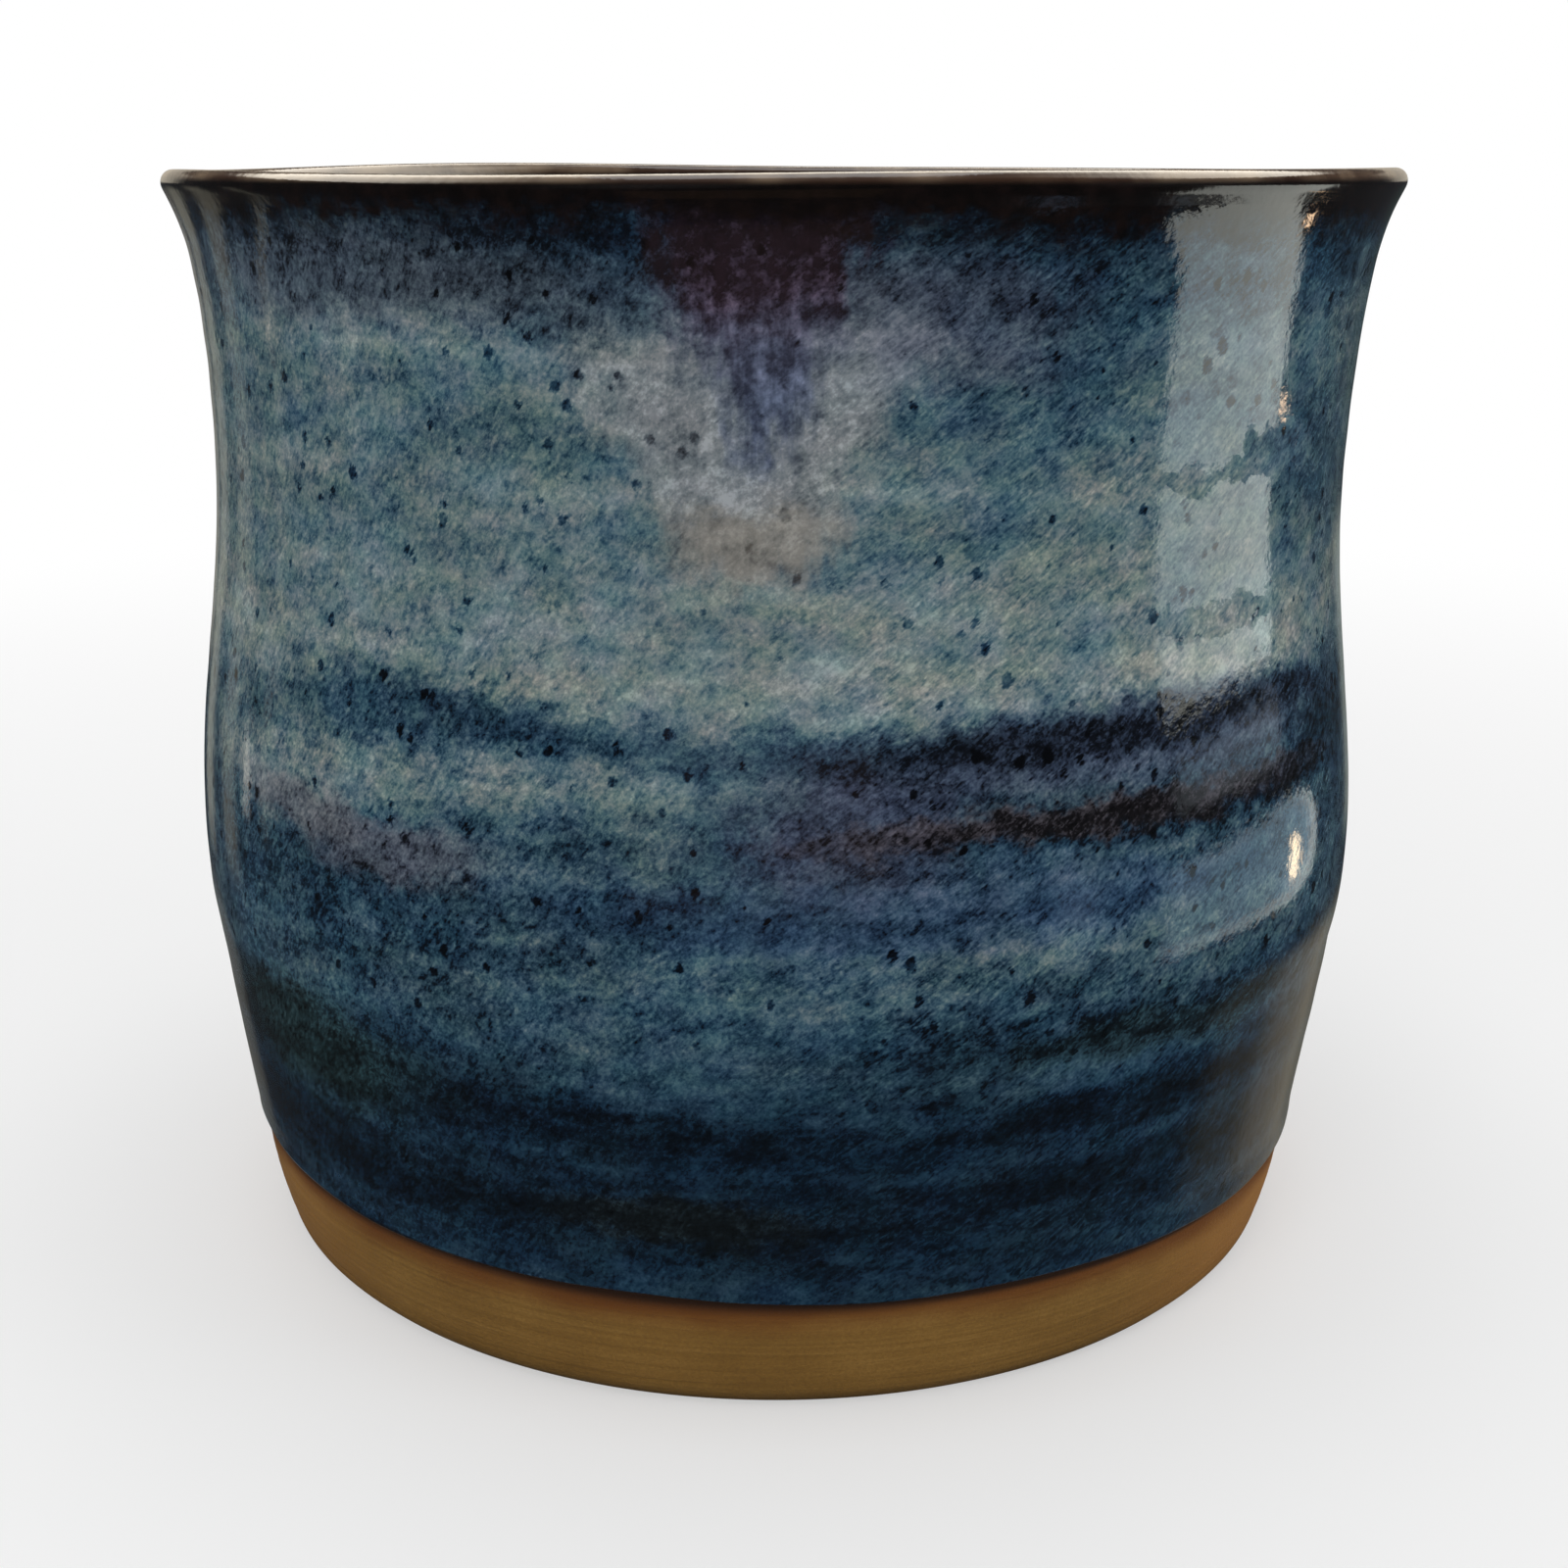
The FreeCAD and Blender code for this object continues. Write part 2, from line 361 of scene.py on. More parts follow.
def coat(name, around, first, last, steps, inner, outer, edge=0, rounded=True):
    """Closed shell of glaze between two arc lengths of the clay.

    first and last may vary with the azimuth. inner and outer are thickness functions of
    (arc length, azimuth). The free edge at first is rounded, or feathered out, over edge.
    """
    t = np.concatenate([stretch(a, b, step) for a, b, step in steps] + [[1.0]])
    s = first + (last - first) * t[:, None]
    skin = outer(s, around)
    back_t = np.linspace(1, 0, 30)
    back = first + (last - first) * back_t[:, None]
    if edge:
        run = np.clip((s - first) / edge, 0, 1)
        rise = np.sqrt(1 - (1 - run) ** 2) if rounded else smooth_step(run)
        skin = inner(s, around) + (skin - inner(s, around)) * rise
        back = back[:-1]
    rows = np.concatenate([on_pot(around, s, skin), on_pot(around, back, inner(back, around))])
    return lathe(name, rows, joined=True)


def towards_lip(s, wall, lip):
    r, z = outline.at(s)[:2]
    return wall + (lip - wall) * smooth_step((z - LIP_JOINT + FEATHER) / FEATHER)


def no_coat(s, around):
    return 0 * s * around


def base_coat(s, around):
    z = outline.at(s)[1]
    roll = EDGE_ROLL * (1 - smooth_step((z - GLAZE_LINE) / (3 * MM)))
    return towards_lip(s, BASE_COAT + roll, LIP_COAT * LIP_BASE_SHARE) + 0 * around


def both_coats(s, around):
    z = outline.at(s)[1]
    over = OVER_COAT * smooth_step((z - OVER_START) / FEATHER) + 0.04 * MM
    return base_coat(s, around) + towards_lip(s, over, LIP_COAT * (1 - LIP_BASE_SHARE))


def liner_coat(s, around):
    return towards_lip(s, LINER_COAT, LIP_COAT) + 0 * around


def lip_coat(s, around):
    return LIP_COAT + 0 * s * around


def glaze_pieces():
    around = azimuths(512)[None, :]
    lip_out, lip_in = outline.outside(LIP_JOINT), outline.inside(LIP_JOINT)
    wave = 0.30 * wander(around, 0, 9, 1, 51) + 0.14 * wander(around, 0, 26, 1, 52)
    line = GLAZE_LINE + LINE_RAISE - LINE_TILT * np.sin(around) + wave * MM
    first = outline.outside(line)
    base = coat("base_glaze_coat", around, first, lip_out,
                ((0, 0.006, 0.0007), (0.006, 0.36, 0.0042), (0.36, 1, 0.025)),
                no_coat, base_coat, edge=0.5 * MM)
    start = OVER_START + 3 * MM * wander(around, 0, 8, 1, 53)
    over = coat("over_glaze_coat", around, outline.outside(start), lip_out, ((0, 1, 0.0068),),
                base_coat, both_coats, edge=5 * MM, rounded=False)
    lip = coat("lip_glaze_coat", around, lip_out, lip_in, ((0, 1, 0.028),), no_coat, lip_coat)
    return base, over, lip


def liner_piece():
    around = azimuths(360)[None, :]
    lip_in = outline.inside(LIP_JOINT)
    s = np.append(stretch(lip_in, END, 1.0 * MM), END)[:, None]
    skin = on_pot(around, s, liner_coat(s, around))
    back = np.append(stretch(END, lip_in, 4.0 * MM), lip_in)[:, None]
    back = on_pot(around, back, 0)
    return lathe("liner_glaze_coat", np.concatenate([back, skin]), joined=False)


clay = clay_piece()
base_glaze, over_glaze, lip_glaze = glaze_pieces()
liner = liner_piece()

PIECES = (
    (clay, "stoneware_body", "stoneware"),
    (base_glaze, "base_glaze", "dark_glaze"),
    (over_glaze, "over_glaze", "mottled_glaze"),
    (lip_glaze, "lip_glaze", "iron_glaze"),
    (liner, "liner_glaze", "liner_glaze"),
)
for piece, node, slot in PIECES:
    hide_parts(node)
    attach(piece, "root")


# --- Node helpers -----------------------------------------------------------------------------
def srgb(red, green, blue):
    """Linear colour from 0 to 255 screen values."""
    linear = []
    for value in (red / 255, green / 255, blue / 255):
        linear.append(value / 12.92 if value <= 0.04045 else ((value + 0.055) / 1.055) ** 2.4)
    return (*linear, 1.0)


class Graph:
    """Builds one node tree. Each method adds a node and gives back its output."""

    def __init__(self, tree):
        self.tree = tree
        tree.nodes.clear()

    def node(self, kind, **settings):
        made = self.tree.nodes.new(kind)
        for key, value in settings.items():
            setattr(made, key, value)
        return made

    def feed(self, socket, value):
        if isinstance(value, bpy.types.NodeSocket):
            self.tree.links.new(value, socket)
        elif value is not None:
            socket.default_value = value

    def math(self, operation, a, b=None, c=None, clamp=False):
        made = self.node("ShaderNodeMath", operation=operation, use_clamp=clamp)
        for socket, value in zip(made.inputs, (a, b, c)):
            self.feed(socket, value)
        return made.outputs[0]

    def vector(self, operation, a, b=None, c=None):
        made = self.node("ShaderNodeVectorMath", operation=operation)
        for socket, value in zip(made.inputs, (a, b, c)):
            self.feed(socket, value)
        return made.outputs["Value"] if operation == "LENGTH" else made.outputs["Vector"]

    def joined(self, x, y, z):
        made = self.node("ShaderNodeCombineXYZ")
        for socket, value in zip(made.inputs, (x, y, z)):
            self.feed(socket, value)
        return made.outputs[0]

    def parts(self, vector):
        made = self.node("ShaderNodeSeparateXYZ")
        self.feed(made.inputs[0], vector)
        return made.outputs

    def noise(self, at, scale, detail=2.0, roughness=0.5):
        """Noise about 0, mostly from -1 to 1."""
        made = self.node("ShaderNodeTexNoise")
        self.feed(made.inputs["Vector"], at)
        made.inputs["Scale"].default_value = scale
        made.inputs["Detail"].default_value = detail
        made.inputs["Roughness"].default_value = roughness
        return self.math("MULTIPLY_ADD", made.outputs["Fac"], 4.0, -2.0)

    def cells(self, at, scale):
        """Distance to the nearest of many scattered points, in cell widths."""
        made = self.node("ShaderNodeTexVoronoi")
        self.feed(made.inputs["Vector"], at)
        made.inputs["Scale"].default_value = scale
        return made.outputs["Distance"]

    def step(self, value, low, high, to_low=0.0, to_high=1.0):
        """Smooth change from to_low to to_high as value goes from low to high."""
        made = self.node("ShaderNodeMapRange", interpolation_type="SMOOTHSTEP")
        for socket, given in zip(made.inputs, (value, low, high, to_low, to_high)):
            self.feed(socket, given)
        return made.outputs[0]

    def ramp(self, value, stops):
        """Colour ramp from (place, colour) stops."""
        made = self.node("ShaderNodeValToRGB")
        elements = made.color_ramp.elements
        while len(elements) < len(stops):
            elements.new(0.5)
        for element, (place, colour) in zip(elements, stops):
            element.position = place
            element.color = colour
        self.feed(made.inputs[0], value)
        return made.outputs[0]

    def mix(self, share, a, b, blend="MIX"):
        made = self.node("ShaderNodeMix", data_type="RGBA", blend_type=blend)
        made.clamp_factor = True
        self.feed(made.inputs["Factor"], share)
        self.feed(made.inputs["A"], a)
        self.feed(made.inputs["B"], b)
        return made.outputs["Result"]


# --- Places on the pot, for patterns ------------------------------------------------------------
class Place:
    """Pattern coordinates on the pot: millimetres, direction from the axis and height share."""

    def __init__(self, graph):
        g = self.graph = graph
        object_space = g.node("ShaderNodeTexCoord").outputs["Object"]
        self.mm = g.vector("MULTIPLY", object_space, (1000.0, 1000.0, 1000.0))
        x, y, self.z = g.parts(self.mm)
        self.height = g.math("DIVIDE", self.z, HEIGHT / MM)
        self.direction = g.vector("NORMALIZE", g.joined(x, y, 0.0))
        self.azimuth = g.math("ARCTAN2", x, g.math("MULTIPLY", y, -1.0))

    def squashed(self, along, up):
        """Coordinates for streaks: small numbers make the pattern long that way."""
        return self.graph.vector("MULTIPLY", self.mm, (along, along, up))

    def twisted(self, rise, length):
        """Coordinates for slanting strokes that climb rise radians, length times as long as wide."""
        g = self.graph
        twist = g.math("MULTIPLY", self.z, -MM / (RIM_RADIUS * math.tan(rise)))
        angle = g.math("ADD", self.azimuth, twist)
        radius = RIM_RADIUS / MM
        x = g.math("MULTIPLY", g.math("SINE", angle), radius)
        y = g.math("MULTIPLY", g.math("COSINE", angle), radius)
        return g.joined(x, y, g.math("MULTIPLY", self.z, 1 / length))

    def warped(self, slow, ragged, sideways):
        """Direction and height share, pushed about so that patch edges come out ragged."""
        g = self.graph
        wide = g.noise(self.squashed(0.03, 0.05), 1.0, 2.0)
        rough = g.noise(self.squashed(0.24, 0.36), 1.0, 5.0, 0.70)
        height = g.math("MULTIPLY_ADD", wide, slow, self.height)
        height = g.math("MULTIPLY_ADD", rough, ragged, height)
        aside = g.math("MULTIPLY", g.noise(self.squashed(0.34, 0.12), 1.0, 3.0, 0.6), sideways)
        x, y, _ = g.parts(self.direction)
        return g.joined(g.math("ADD", x, aside), g.math("ADD", y, aside), height)

    def patch(self, warped, azimuth, height, half_width, half_height, soft=1.0):
        """Mask of an oval patch: 1 in the middle, 0 past its edge. Widths are in degrees."""
        g = self.graph
        wide, tall = 1 / math.radians(half_width), 1 / half_height
        angle = math.radians(azimuth)
        centre = (-math.sin(angle) * wide, math.cos(angle) * wide, -height * tall)
        offset = g.vector("MULTIPLY_ADD", warped, (wide, wide, tall), centre)
        return g.step(g.vector("LENGTH", offset), 1.0 + soft / 2, 1.0 - soft / 2)

    def run(self, warped, azimuth, tip, half_width, soft=0.05):
        """Mask of a run of glaze that starts at the lip and narrows down to a blunt tip."""
        g = self.graph
        angle = math.radians(azimuth)
        x, y, height = g.parts(warped)
        offset = g.joined(g.math("SUBTRACT", x, math.sin(angle)), g.math("ADD", y, math.cos(angle)), 0.0)
        slope = math.radians(half_width) / (1 - tip)
        reach = g.math("MULTIPLY_ADD", height, slope, -slope * tip)
        inside = g.step(g.math("SUBTRACT", g.vector("LENGTH", offset), reach), soft / 2, -soft / 2)
        return g.math("MULTIPLY", inside, g.step(height, tip + 0.03, tip + 0.07))


# --- Glaze on the outside -----------------------------------------------------------------------
# Tone of the glaze, from dark (0) to pale (1), by height share.
TONE_BY_HEIGHT = (
    (0.10, 0.18), (0.13, 0.20), (0.15, 0.17), (0.185, 0.035), (0.235, 0.17), (0.265, 0.05),
    (0.30, 0.27), (0.36, 0.35), (0.42, 0.39), (0.45, 0.35), (0.48, 0.39), (0.505, 0.36),
    (0.55, 0.53), (0.575, 0.52), (0.595, 0.60), (0.62, 0.75), (0.70, 0.68), (0.73, 0.58),
    (0.77, 0.64), (0.81, 0.56), (0.885, 0.56), (0.905, 0.38), (0.94, 0.28), (0.965, 0.16), (0.98, 0.04),
)

# Soft oval patches: azimuth, height share, half width in degrees, half height share, tone change.
TONE_PATCHES = (
    (-33, 0.598, 14, 0.028, -0.25),    # deep blue patch at the left
    (-20, 0.596, 11, 0.014, -0.20),
    (-30, 0.548, 26, 0.018, 0.12),     # pale band under it
    (28, 0.581, 28, 0.022, -0.38),     # dark band at the right
    (36, 0.550, 36, 0.048, -0.11),
    (31, 0.508, 25, 0.018, -0.23),     # thin dark band under it
    (46, 0.503, 13, 0.016, -0.08),
    (26, 0.463, 14, 0.012, 0.08),
    (62, 0.540, 13, 0.034, -0.18),
    (57, 0.770, 9, 0.100, -0.18),      # deeper blue beside the window's reflection
    (-38, 0.437, 24, 0.036, -0.11),    # deep blue belly at the left
    (-52, 0.512, 17, 0.022, 0.22),
    (-2, 0.395, 14, 0.030, 0.08),
    (32, 0.425, 22, 0.016, 0.12),
    (36, 0.338, 30, 0.021, -0.23),     # dark streak over the lower belly
    (-10, 0.335, 13, 0.026, 0.10),
    (-40, 0.308, 20, 0.026, -0.14),
    (-8, 0.190, 11, 0.020, -0.10),     # dark blot near the foot
    (2, 0.645, 12, 0.020, 0.05),
    (10, 0.540, 12, 0.020, -0.07),
    (46, 0.612, 8, 0.014, 0.18),
    (-45, 0.668, 20, 0.020, -0.06),
    (22, 0.860, 13, 0.060, -0.15),
    (-36, 0.885, 18, 0.020, 0.12),
    (-20, 0.900, 12, 0.016, -0.06),
    (-15, 0.940, 8, 0.034, -0.12),
    (96, 0.600, 24, 0.024, -0.30),     # and on round the back
    (150, 0.560, 34, 0.030, -0.26),
    (118, 0.720, 20, 0.030, 0.12),
    (170, 0.440, 26, 0.030, 0.12),
    (-168, 0.870, 16, 0.045, -0.16),
    (-122, 0.600, 26, 0.020, -0.26),
    (-140, 0.500, 22, 0.024, -0.14),
    (-96, 0.430, 18, 0.034, -0.12),
    (-104, 0.830, 18, 0.040, 0.10),
    (-150, 0.330, 30, 0.022, -0.12),
    (110, 0.350, 24, 0.030, 0.08),
)

# Pale runs from the lip: azimuth, height share of the tip, half width at the lip in degrees.
RUNS = ((-2, 0.655, 22), (94, 0.740, 16), (158, 0.690, 20), (-118, 0.705, 18))
CORE_WIDTH = 0.4             # each has a dark core, this share as wide
CORE_SHORTER = 0.09          # and this much of the height shorter

# Tints: azimuth, height share, half width, half height, strength, colour.
TINT_PATCHES = (
    (-46, 0.502, 9, 0.020, 0.55, srgb(84, 82, 86)),       # purple-grey
    (-34, 0.482, 10, 0.024, 0.55, srgb(82, 80, 88)),
    (-48, 0.285, 15, 0.050, 0.60, srgb(28, 44, 42)),      # deep green
    (34, 0.330, 16, 0.020, 0.50, srgb(24, 38, 40)),
    (-8, 0.190, 11, 0.020, 0.60, srgb(20, 26, 26)),
    (7, 0.520, 9, 0.045, 0.60, srgb(60, 62, 84)),
    (-38, 0.925, 24, 0.036, 0.50, srgb(62, 64, 70)),
    (14, 0.900, 10, 0.050, 0.45, srgb(68, 68, 84)),
    (30, 0.570, 26, 0.034, 0.55, srgb(36, 38, 50)),
    (30, 0.513, 24, 0.014, 0.80, srgb(38, 34, 36)),       # brown-black
    (12, 0.455, 28, 0.030, 0.45, srgb(36, 54, 88)),       # indigo
    (-118, 0.500, 12, 0.024, 0.50, srgb(80, 77, 88)),
    (150, 0.545, 20, 0.024, 0.50, srgb(40, 37, 44)),
)

# Matt, crawled glaze that hardly reflects: azimuth, height share, half width, half height.
MATT_PATCHES = ((49, 0.788, 6, 0.022), (42, 0.775, 13, 0.009), (41, 0.660, 14, 0.013))
MATT_ROUGHNESS = 0.50
MATT_SPECULAR = 0.06
GLAZE_RELIEF = 0.006 * MM

# Glaze colour by tone. Tones from 0 to 1 use the stops from 0.2 up, and streaks can go darker.
GLAZE_TONES = (
    (0.00, srgb(3, 5, 8)), (0.20, srgb(8, 15, 23)), (0.28, srgb(13, 27, 40)), (0.37, srgb(23, 44, 61)),
    (0.48, srgb(42, 66, 82)), (0.60, srgb(66, 90, 101)), (0.72, srgb(94, 112, 116)),
    (0.86, srgb(124, 134, 133)), (1.00, srgb(156, 163, 158)),
)
COOL_SHIFT = (0.84, 0.98, 1.08, 1)
WARM_SHIFT = (1.10, 1.03, 0.94, 1)
TEAL_SHIFT = (0.93, 1.03, 0.99, 1)
VIOLET_SHIFT = (1.05, 0.97, 1.03, 1)
PLUM = srgb(38, 27, 36)
INDIGO = srgb(46, 55, 76)
LILAC_GREY = srgb(116, 120, 126)
BEIGE = srgb(126, 122, 114)
IRON_BLACK = srgb(8, 5, 4)
IRON_DARK = srgb(20, 12, 10)
IRON_BROWN = srgb(60, 42, 32)
LIP_TAN = srgb(116, 98, 80)
# Painted shade on the glaze's rolled edge at the glaze line.
GLAZE_EDGE_SHADE = srgb(12, 10, 11)


def strokes(g, place):
    """Fine slanting strokes in the glaze, steep at the left and flatter at the right."""
    steep = g.noise(place.twisted(math.radians(60), 1.45), 1.35, 3.0, 0.74)
    flat = g.noise(place.twisted(math.radians(42), 1.30), 1.25, 3.0, 0.76)
    x, _, _ = g.parts(place.direction)
    right = g.step(x, -0.35, 0.25)
    return g.math("MULTIPLY_ADD", right, g.math("SUBTRACT", flat, steep), steep)


def specks(g, place, grain):
    """Mask of ragged dark specks, about a millimetre wide, that gather in swarms."""
    swarm = g.noise(place.squashed(0.06, 0.11), 1.0, 3.0, 0.6)
    size = g.math("MULTIPLY_ADD", swarm, 0.17, 0.15)
    spot = g.math("MULTIPLY_ADD", grain, 0.09, g.cells(place.squashed(1.0, 0.80), 0.32))
    return g.step(g.math("SUBTRACT", spot, size), 0.04, -0.08)


def textured(g, place, tone, grain, clumps):
    """Tone with its streaks, clouds, strokes and specks."""
    lively = g.step(place.height, 0.24, 0.40, 0.60, 1.16)
    lively = g.math("MULTIPLY", lively, g.step(place.height, 0.56, 0.68, 1.0, 0.88))
    streaks = g.noise(place.squashed(0.040, 0.27), 1.0, 4.0, 0.62)
    clouds = g.noise(place.squashed(0.17, 0.30), 1.0, 4.0, 0.65)
    grit = g.noise(place.mm, 2.3, 2.0, 0.65)
    rough = g.math("MULTIPLY", clouds, 0.150)
    rough = g.math("MULTIPLY_ADD", clumps, 0.130, rough)
    rough = g.math("MULTIPLY_ADD", grain, g.step(clumps, 0.9, -0.9, 0.12, 0.34), rough)
    rough = g.math("MULTIPLY_ADD", grit, 0.135, rough)
    speck_depth = g.step(place.height, 0.30, 0.42, -0.16, -0.38)
    rough = g.math("MULTIPLY_ADD", specks(g, place, grain), speck_depth, rough)
    tone = g.math("MULTIPLY_ADD", streaks, 0.115, tone)
    return g.math("MULTIPLY_ADD", rough, lively, tone)


def tinted(g, place, tone):
    """Colour of a tone, shifting slowly between teal, warm grey and violet."""
    colour = g.ramp(g.math("MULTIPLY_ADD", tone, 0.8, 0.2), GLAZE_TONES)
    warmth = g.noise(place.squashed(0.10, 0.16), 1.0, 3.0, 0.6)
    colour = g.mix(1.0, colour, g.mix(g.step(warmth, -1.0, 1.0), COOL_SHIFT, WARM_SHIFT), "MULTIPLY")
    violet = g.noise(place.squashed(0.23, 0.31), 1.0, 3.0, 0.6)
    return g.mix(1.0, colour, g.mix(g.step(violet, -1.0, 1.0), TEAL_SHIFT, VIOLET_SHIFT), "MULTIPLY")


def glossy_glaze(g, place, colour, grain, roughness, matt=0.0):
    """Finishes a glaze tree with a glassy, slightly uneven surface. matt is a mask of dull spots."""
    bump = g.node("ShaderNodeBump")
    bump.inputs["Distance"].default_value = GLAZE_RELIEF
    relief = g.math("MULTIPLY_ADD", grain, 0.30, g.noise(place.mm, 0.9, 2.0))
    g.feed(bump.inputs["Height"], relief)
    shader = g.node("ShaderNodeBsdfPrincipled")
    g.feed(shader.inputs["Base Color"], colour)
    g.feed(shader.inputs["Roughness"], g.step(matt, 0.0, 1.0, roughness, MATT_ROUGHNESS))
    g.feed(shader.inputs["Specular IOR Level"], g.step(matt, 0.0, 1.0, 0.5, MATT_SPECULAR))
    g.feed(shader.inputs["Normal"], bump.outputs[0])
    out = g.node("ShaderNodeOutputMaterial")
    g.feed(out.inputs[0], shader.outputs[0])


def new_material(name):
    material = bpy.data.materials.new(name)
    material.use_nodes = True
    return material, Graph(material.node_tree)


def outside_glaze(name, roughness):
    """Mottled blue glaze. Its pattern carries on from coat to coat."""
    material, g = new_material(name)
    place = Place(g)
    warped = place.warped(slow=0.010, ragged=0.015, sideways=0.045)
    _, _, level = g.parts(warped)
    grain = strokes(g, place)
    clumps = g.noise(place.squashed(1.0, 1.1), 0.48, 3.0, 0.60)

    tone = g.ramp(level, [(share, (value, value, value, 1)) for share, value in TONE_BY_HEIGHT])
    for azimuth, height, wide, tall, change in TONE_PATCHES:
        mask = place.patch(warped, azimuth, height, wide, tall, soft=1.3)
        tone = g.math("MULTIPLY_ADD", mask, change, tone)
    drips = g.noise(place.squashed(0.80, 0.12), 1.0, 3.0, 0.6)
    veils, cores = 0.0, 0.0
    for azimuth, tip, wide in RUNS:
        veil = place.run(warped, azimuth, tip, wide, 0.10)
        core = place.run(warped, azimuth + 1, tip + CORE_SHORTER, wide * CORE_WIDTH, 0.08)
        veils = g.math("ADD", veils, veil, clamp=True)
        cores = g.math("ADD", cores, core, clamp=True)
    pale = g.math("MULTIPLY", veils, g.step(level, 0.95, 0.84))
    flecks = g.math("MULTIPLY_ADD", clumps, 0.6, g.math("MULTIPLY", drips, 0.6))
    tone = g.math("MULTIPLY_ADD", pale, g.math("MULTIPLY_ADD", flecks, 0.18, 0.18), tone)
    tone = g.math("MULTIPLY_ADD", cores, g.math("MULTIPLY_ADD", flecks, 0.22, -0.22), tone)
    tone = textured(g, place, tone, grain, clumps)

    colour = tinted(g, place, tone)
    colour = g.mix(g.math("MULTIPLY", pale, 0.70), colour, LILAC_GREY, "COLOR")
    tips = g.math("MULTIPLY", veils, g.step(level, 0.775, 0.740))
    colour = g.mix(g.math("MULTIPLY", tips, g.step(clumps, -1.0, 1.0, 0.15, 0.50)), colour, BEIGE)
    colour = g.mix(g.math("MULTIPLY", tips, 0.60), colour, BEIGE, "COLOR")
    for azimuth, height, wide, tall, strength, tint in TINT_PATCHES:
        mask = place.patch(warped, azimuth, height, wide, tall)
        colour = g.mix(g.math("MULTIPLY", mask, strength), colour, tint, "COLOR")
    core_colour = g.mix(g.step(level, 0.83, 0.93), INDIGO, PLUM)
    colour = g.mix(g.math("MULTIPLY", cores, 0.70), colour, core_colour, "COLOR")
    colour = g.mix(g.math("MULTIPLY", cores, g.step(flecks, -0.7, 0.4, 0.60, 0.10)), colour, core_colour)

    ragged_height = g.math("MULTIPLY_ADD", grain, 0.005, g.math("MULTIPLY_ADD", clumps, 0.010, level))
    iron = g.mix(g.step(clumps, -0.5, 1.0), IRON_BLACK, IRON_DARK)
    colour = g.mix(g.step(ragged_height, 0.942, 0.982), colour, iron)
    rubbed = g.step(g.noise(place.squashed(0.10, 0.10), 1.0, 3.0), -0.5, 0.7)
    colour = g.mix(g.step(place.height, 0.990, 0.996), colour, g.mix(rubbed, IRON_BROWN, LIP_TAN))
    # Painted shade: black over about the lowest half millimetre of the glaze, on its rolled edge.
    edge = g.step(glaze_edge_distance(g, place), 0.05, 0.60, 1.0, 0.0)
    colour = g.mix(edge, colour, GLAZE_EDGE_SHADE)

    matt = 0.0
    for azimuth, height, wide, tall in MATT_PATCHES:
        matt = g.math("ADD", matt, place.patch(warped, azimuth, height, wide, tall), clamp=True)
    matt = g.step(g.math("MULTIPLY_ADD", grain, 0.30, matt), 0.35, 0.65)
    glossy_glaze(g, place, colour, grain, roughness, matt)
    return material


def glaze_edge_distance(g, place):
    """Millimetres above the wavy line where the outside glaze stops."""
    level = (GLAZE_LINE + LINE_RAISE) / MM
    line = g.math("MULTIPLY_ADD", g.math("SINE", place.azimuth), -LINE_TILT / MM, level)
    return g.math("SUBTRACT", place.z, line)


# --- Bare clay ----------------------------------------------------------------------------------
CLAY_TONES = ((0.0, srgb(92, 64, 24)), (0.5, srgb(122, 90, 40)), (1.0, srgb(152, 118, 62)))
RUST = srgb(98, 52, 13)
# Painted light on the bare foot's left and right sides.
SIDE_LIT_CLAY = srgb(168, 112, 52)
# Painted shadow on the clay under the glaze's rolled edge.
CLAY_EDGE_SHADOW = srgb(30, 16, 8)
# Clay colour for the bottom of the foot, darker.
LOW_DARK_CLAY = srgb(88, 66, 30)


